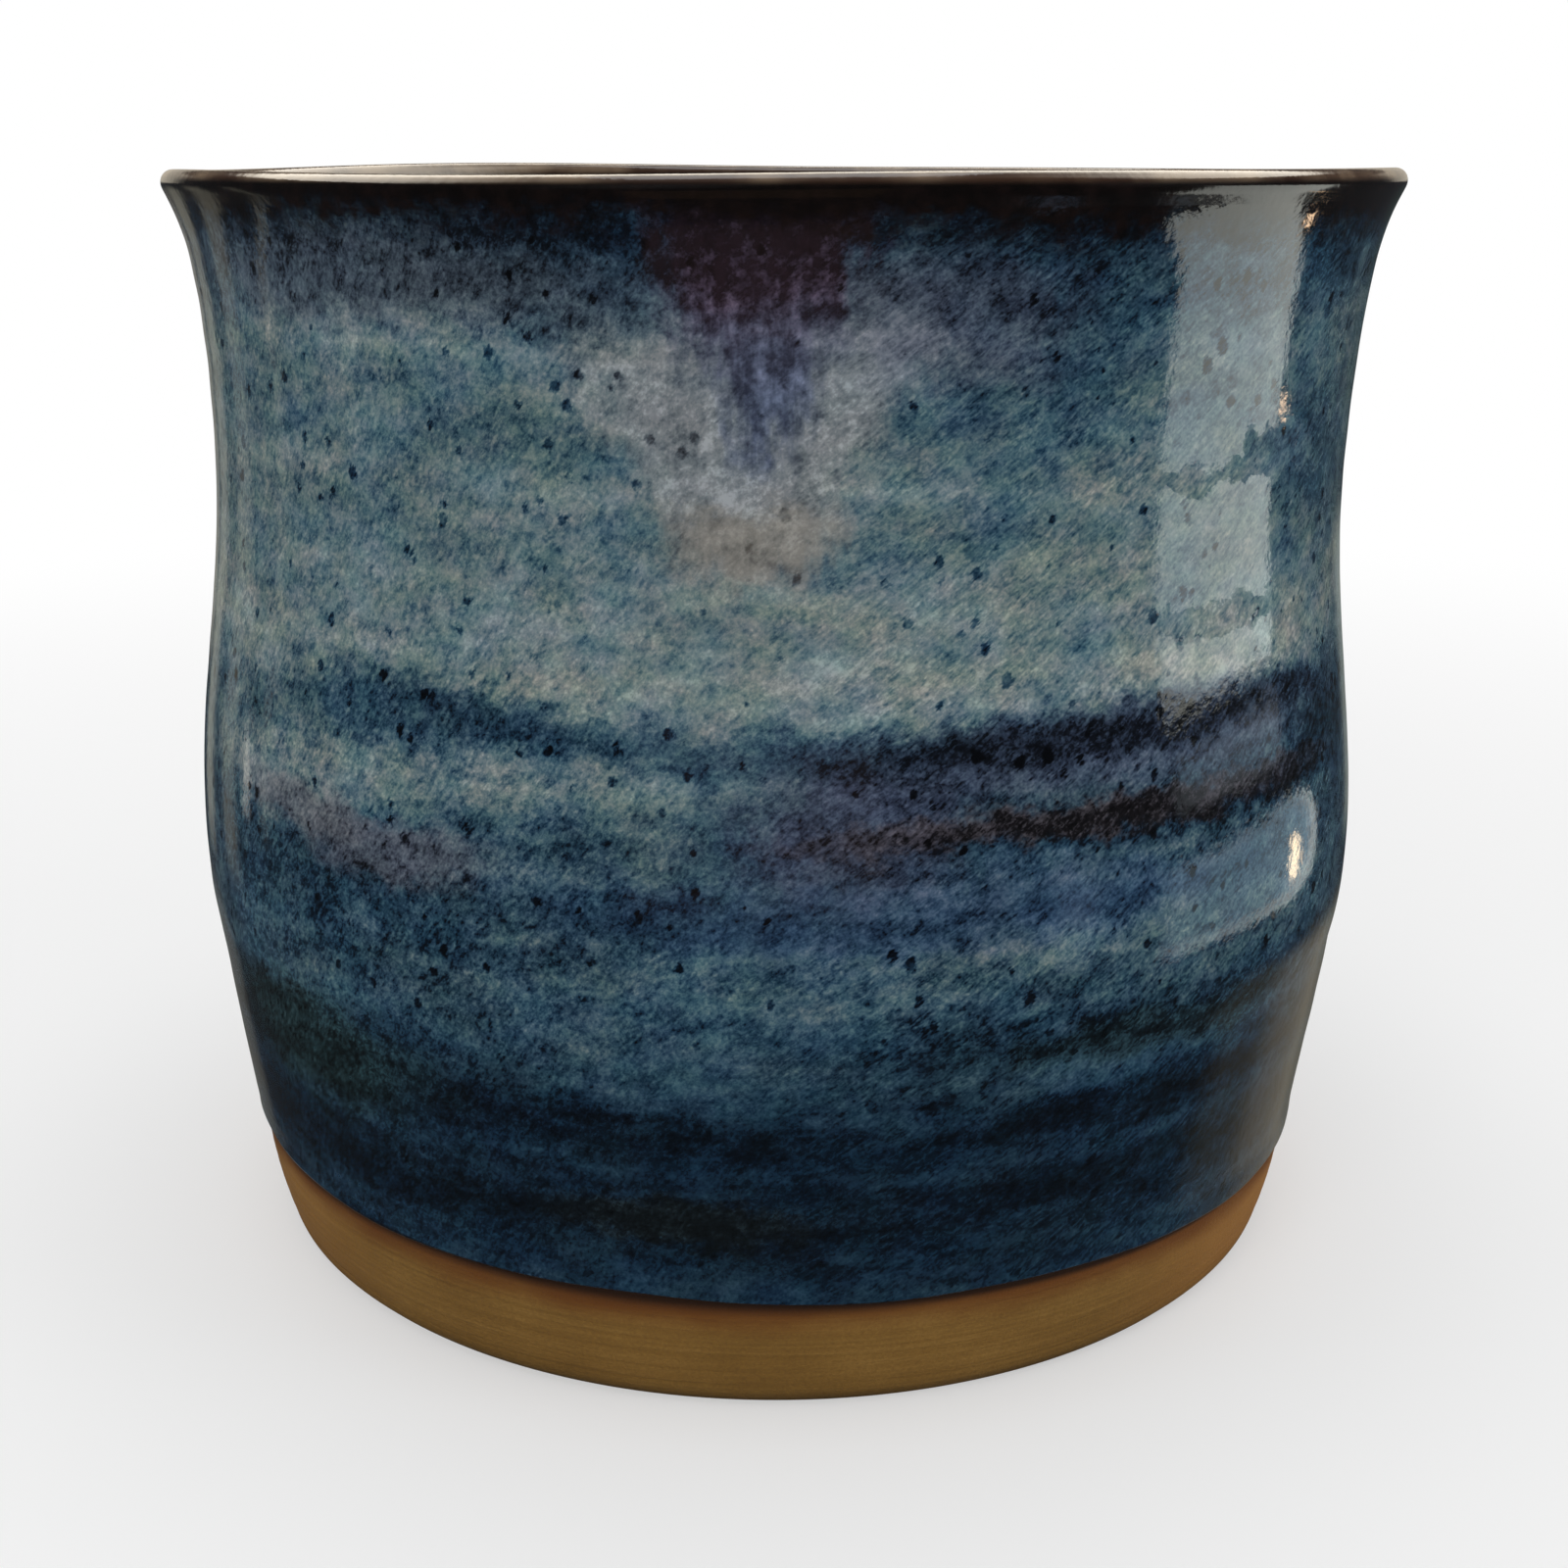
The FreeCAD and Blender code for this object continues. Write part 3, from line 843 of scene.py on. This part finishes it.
def bare_clay():
    """Matt fired stoneware, rust-orange beside the glaze, with level turning lines."""
    material, g = new_material("bare_stoneware")
    place = Place(g)
    lines = g.noise(place.squashed(0.02, 1.6), 1.0, 4.0, 0.6)
    cloud = g.noise(place.squashed(0.08, 0.14), 1.0, 3.0)
    grit = g.noise(place.mm, 2.6, 3.0, 0.65)
    tone = g.math("MULTIPLY_ADD", lines, 0.13, 0.48)
    tone = g.math("MULTIPLY_ADD", cloud, 0.12, tone)
    tone = g.math("MULTIPLY_ADD", grit, 0.16, tone, clamp=True)
    colour = g.ramp(tone, CLAY_TONES)
    x, _, _ = g.parts(place.direction)
    # Painted light: the bare foot paler towards its right side, and less so towards its left, as seen
    # from the front.
    side_light = g.math("ADD", g.step(x, 0.50, 0.95, 0.0, 0.60), g.step(x, -0.60, -0.95, 0.0, 0.30))
    colour = g.mix(side_light, colour, SIDE_LIT_CLAY)
    below = g.math("MULTIPLY", glaze_edge_distance(g, place), -1.0)
    rust = g.step(g.math("MULTIPLY_ADD", cloud, 0.9, below), 0.6, 5.0, 1.0, 0.0)
    colour = g.mix(g.math("MULTIPLY", rust, 0.85), colour, RUST)
    # Painted shadow: a dark line on the clay just under the glaze edge, wider at the left and middle
    # than at the right.
    dark = g.step(below, 0.10, g.step(x, 0.45, -0.05, 1.05, 2.00), 1.0, 0.0)
    colour = g.mix(g.math("MULTIPLY", dark, 0.90), colour, CLAY_EDGE_SHADOW)
    # Darker towards the bottom, over the lowest 4 mm of the foot.
    near_bottom = g.step(place.z, 4.0, 0.5, 0.0, 0.60)
    colour = g.mix(near_bottom, colour, LOW_DARK_CLAY)
    bump = g.node("ShaderNodeBump")
    bump.inputs["Distance"].default_value = 0.05 * MM
    g.feed(bump.inputs["Height"], g.math("MULTIPLY_ADD", grit, 0.5, lines))
    shader = g.node("ShaderNodeBsdfPrincipled")
    g.feed(shader.inputs["Base Color"], colour)
    shader.inputs["Specular IOR Level"].default_value = 0.2
    g.feed(shader.inputs["Roughness"], g.step(grit, -1.0, 1.0, 0.62, 0.85))
    g.feed(shader.inputs["Normal"], bump.outputs[0])
    out = g.node("ShaderNodeOutputMaterial")
    g.feed(out.inputs[0], shader.outputs[0])
    return material


def inside_glaze():
    """Glossy blue-grey liner, paler on the floor, black-brown under the lip."""
    material, g = new_material("liner_glaze_glossy")
    place = Place(g)
    grain = strokes(g, place)
    tone = g.step(place.height, 0.1, 0.9, 0.56, 0.34)
    tone = textured(g, place, tone, grain, g.noise(place.mm, 0.50, 3.0, 0.60))
    colour = tinted(g, place, tone)
    ragged_height = g.math("MULTIPLY_ADD", grain, 0.006, place.height)
    colour = g.mix(g.step(ragged_height, 0.955, 0.985), colour, IRON_BLACK)
    glossy_glaze(g, place, colour, grain, 0.07)
    return material


clay.data.materials.append(bare_clay())
base_glaze.data.materials.append(outside_glaze("dark_navy_glaze", 0.08))
over_glaze.data.materials.append(outside_glaze("mottled_blue_glaze", 0.06))
lip_glaze.data.materials.append(outside_glaze("iron_brown_glaze", 0.12))
liner.data.materials.append(inside_glaze())


# --- Studio -------------------------------------------------------------------------------------
BACKDROP = (1.0, 1.0, 1.0, 1)
AMBIENT = (0.62, 0.62, 0.62, 1)
DIM_ROOM = (0.035, 0.038, 0.042, 1)
SKY_GLOW = (5.5, 5.1, 4.4, 1)
ZENITH = (0.25, 0.25, 0.25, 1)
ROOM_RADIUS = 150 * MM
ROOM_ENDS = (-0.5, 0.2)      # heights of the tube's open ends

# What the glaze reflects, painted on the tube in this order: azimuths from and to in degrees,
# heights from and to in millimetres, width and height of the rounded corners, share of them that
# is the soft edge, and colour times strength.
REFLECTIONS = (
    (98, 190, -200, 10, 8, 14, 1.0, (0.15, 0.145, 0.12)),      # right edge
    (118, 190, 15, 80, 6, 10, 1.0, (0.22, 0.24, 0.22)),
    (118, 190, 84, 130, 6, 6, 1.0, (0.04, 0.05, 0.05)),
    (72, 106, -120, 6, 12, 12, 1.0, (0.15, 0.145, 0.12)),      # right, low down
    (89, 128, -120, 4, 12, 12, 1.0, (0.31, 0.28, 0.22)),
    (104, 256, 131, 170, 12, 4, 1.0, (0.62, 0.56, 0.46)),      # pale wall behind, for the lip
    (-165, -108, -200, -44, 4, 20, 1.0, (0.40, 0.40, 0.37)),   # left edge
    (-165, -114, -66, 14, 4, 14, 1.0, (0.12, 0.12, 0.11)),
    (-165, -124, 46, 130, 2, 14, 1.0, (0.24, 0.23, 0.20)),
    (-124, -114, 10, 130, 2, 20, 1.0, (0.31, 0.30, 0.25)),     # left streaks
    (-108, -99, 10, 130, 2, 20, 1.0, (0.28, 0.27, 0.22)),
    (-96, -93, 34, 62, 1, 8, 1.0, (1.30, 1.20, 1.05)),
    (-89, -86, 30, 130, 1, 14, 1.0, (0.38, 0.37, 0.30)),
    (-20, 14, 40, 130, 1.5, 14, 1.0, (0.12, 0.085, 0.065)),    # faint warm band at the front
    (57, 85.5, 71.5, 130, 1.2, 1.0, 0.8, (2.28, 2.35, 2.16)),  # window at the right
    (58, 87, 54, 68, 2.5, 4.0, 1.0, (0.50, 0.56, 0.62)),       # its dim lower part
    (40, 99.5, 18, 47, 12, 11, 0.12, (1.50, 1.55, 1.45)),      # bright curved rim
    (40, 97.6, 21.2, 47, 12, 11, 0.25, (0.64, 0.84, 0.96)),    # round the lowest pane
    (30, 59, 14, 60, 4, 4, 1.0, (0.05, 0.055, 0.06)),
    (38, 45, 24, 54, 1.5, 4.0, 0.8, (0.28, 0.37, 0.53)),
    (85.6, 88.2, 91.4, 94.6, 1.0, 1.2, 1.0, (14.0, 9.5, 6.0)),  # small warm lamps
    (87.9, 92.2, 24, 38.5, 1.8, 4.0, 0.8, (9.5, 7.4, 5.0)),
)


def ground():
    """Pale floor that fades into the backdrop."""
    size = 12 * HEIGHT
    mesh = bpy.data.meshes.new("studio_floor")
    corners = [(-size, -size, 0), (size, -size, 0), (size, size, 0), (-size, size, 0)]
    mesh.from_pydata([(x, y, FLOOR_Z - 0.05 * MM) for x, y, z in corners], [], [(0, 1, 2, 3)])
    floor = bpy.data.objects.new("studio_floor", mesh)
    bpy.context.scene.collection.objects.link(floor)
    material, g = new_material("studio_floor")
    at = g.node("ShaderNodeTexCoord").outputs["Object"]
    far = g.step(g.vector("LENGTH", at), 1.2 * HEIGHT, 4.0 * HEIGHT, 0.45, 1.0)
    pale = g.node("ShaderNodeBsdfDiffuse")
    pale.inputs["Color"].default_value = (0.88, 0.88, 0.88, 1)
    white = g.node("ShaderNodeEmission")
    white.inputs["Color"].default_value = BACKDROP
    seen = g.node("ShaderNodeMixShader")
    path = g.node("ShaderNodeLightPath")
    g.feed(seen.inputs[0], g.math("MULTIPLY", far, path.outputs["Is Camera Ray"]))
    g.feed(seen.inputs[1], pale.outputs[0])
    g.feed(seen.inputs[2], white.outputs[0])
    out = g.node("ShaderNodeOutputMaterial")
    g.feed(out.inputs[0], seen.outputs[0])
    mesh.materials.append(material)
    floor.visible_glossy = False


def beyond(g, offset, half, corner):
    """How far an offset from the middle is into the corner zone, from 0 to 1 at the edge."""
    past = g.math("SUBTRACT", g.math("ABSOLUTE", offset), half - corner)
    return g.math("MULTIPLY", g.math("MAXIMUM", past, 0.0), 1 / corner)


def reflected_room():
    """Tube round the pot that only reflections see: a dim room with a window and pale walls."""
    around = azimuths(96)
    ring = np.stack([ROOM_RADIUS * np.sin(around), -ROOM_RADIUS * np.cos(around)], 1)
    points = [(x, y, z) for z in ROOM_ENDS for x, y in ring]
    count = len(around)
    faces = [(i, (i + 1) % count, count + (i + 1) % count, count + i) for i in range(count)]
    mesh = bpy.data.meshes.new("reflected_room")
    mesh.from_pydata(points, [], faces)
    room = bpy.data.objects.new("reflected_room", mesh)
    bpy.context.scene.collection.objects.link(room)

    material, g = new_material("reflected_room")
    place = Place(g)
    degrees = g.math("MULTIPLY", place.azimuth, 180 / math.pi)
    fray = g.noise(place.squashed(0.35, 0.55), 1.0, 3.0, 0.6)
    degrees = g.math("MULTIPLY_ADD", fray, 1.1, degrees)
    level = g.math("MULTIPLY_ADD", fray, 0.9, place.z)
    total = DIM_ROOM
    for left, right, low, high, corner, corner_up, soft, colour in REFLECTIONS:
        aside = g.math("WRAP", g.math("SUBTRACT", degrees, (left + right) / 2), 180.0, -180.0)
        aside = beyond(g, aside, (right - left) / 2, corner)
        upward = beyond(g, g.math("SUBTRACT", level, (low + high) / 2), (high - low) / 2, corner_up)
        mask = g.step(g.vector("LENGTH", g.joined(aside, upward, 0.0)), 1.0, 1.0 - soft)
        total = g.mix(mask, total, (*colour, 1))
    glow = g.node("ShaderNodeEmission")
    g.feed(glow.inputs["Color"], total)
    out = g.node("ShaderNodeOutputMaterial")
    g.feed(out.inputs[0], glow.outputs[0])
    mesh.materials.append(material)
    room.visible_camera = False
    room.visible_diffuse = False
    room.visible_shadow = False
    room.visible_transmission = False


def world():
    """White backdrop to the camera, even light on the pot, and in reflections a dim room with
    a glow high up in its back half."""
    made = bpy.data.worlds.new("studio")
    bpy.context.scene.world = made
    made.use_nodes = True
    g = Graph(made.node_tree)
    path = g.node("ShaderNodeLightPath")
    _, back, up = g.parts(g.node("ShaderNodeTexCoord").outputs["Generated"])
    high = g.math("MULTIPLY", g.step(up, 0.45, 0.55), g.step(back, -0.30, 0.10))
    glow = g.mix(high, DIM_ROOM, SKY_GLOW)
    glow = g.mix(g.step(up, 0.72, 0.94), glow, ZENITH)
    light = g.mix(path.outputs["Is Camera Ray"], AMBIENT, BACKDROP)
    sky = g.node("ShaderNodeBackground")
    g.feed(sky.inputs["Color"], g.mix(path.outputs["Is Glossy Ray"], light, glow))
    out = g.node("ShaderNodeOutputWorld")
    g.feed(out.inputs[0], sky.outputs[0])


def area_light(name, place, target, size, power, glossy):
    data = bpy.data.lights.new(name, "AREA")
    data.size = size
    data.energy = power
    data.specular_factor = glossy
    lamp = bpy.data.objects.new(name, data)
    bpy.context.scene.collection.objects.link(lamp)
    lamp.location = place
    lamp.rotation_euler = (Vector(target) - Vector(place)).to_track_quat("-Z", "Y").to_euler()
    lamp.visible_camera = False
    return lamp


ground()
reflected_room()
world()
area_light("overhead", (0, 0.05, 0.9), (0, 0, 0.1), 0.5, 2.2, glossy=0.15)
area_light("front_fill", (-0.35, -0.8, 0.55), (0, 0, 0.07), 0.4, 1.5, glossy=0.0)
area_light("right_fill", (0.85, -0.30, 0.30), (0, 0, 0.06), 0.4, 1.4, glossy=0.0)
area_light("left_fill", (-0.90, -0.20, 0.30), (0, 0, 0.06), 0.4, 0.5, glossy=0.0)


# --- Camera -------------------------------------------------------------------------------------
CAMERA_BACK = 3.6145 * RIM_RADIUS
CAMERA_UP = 1.7893 * RIM_RADIUS
CAMERA_TILT = math.radians(16.69)
CAMERA_LENS = 47.8           # for a film 36 mm wide


def camera():
    """Close, just above the lip and looking a little down, as a phone is held."""
    data = bpy.data.cameras.new("camera")
    data.sensor_width = 36
    data.lens = CAMERA_LENS
    data.shift_x = 0.0054
    data.clip_start = 0.01
    made = bpy.data.objects.new("camera", data)
    made.location = (0, -CAMERA_BACK, CAMERA_UP)
    made.rotation_euler = (math.pi / 2 - CAMERA_TILT, 0, 0)
    bpy.context.scene.collection.objects.link(made)
    bpy.context.scene.camera = made


camera()
bpy.context.scene.view_settings.view_transform = "Standard"
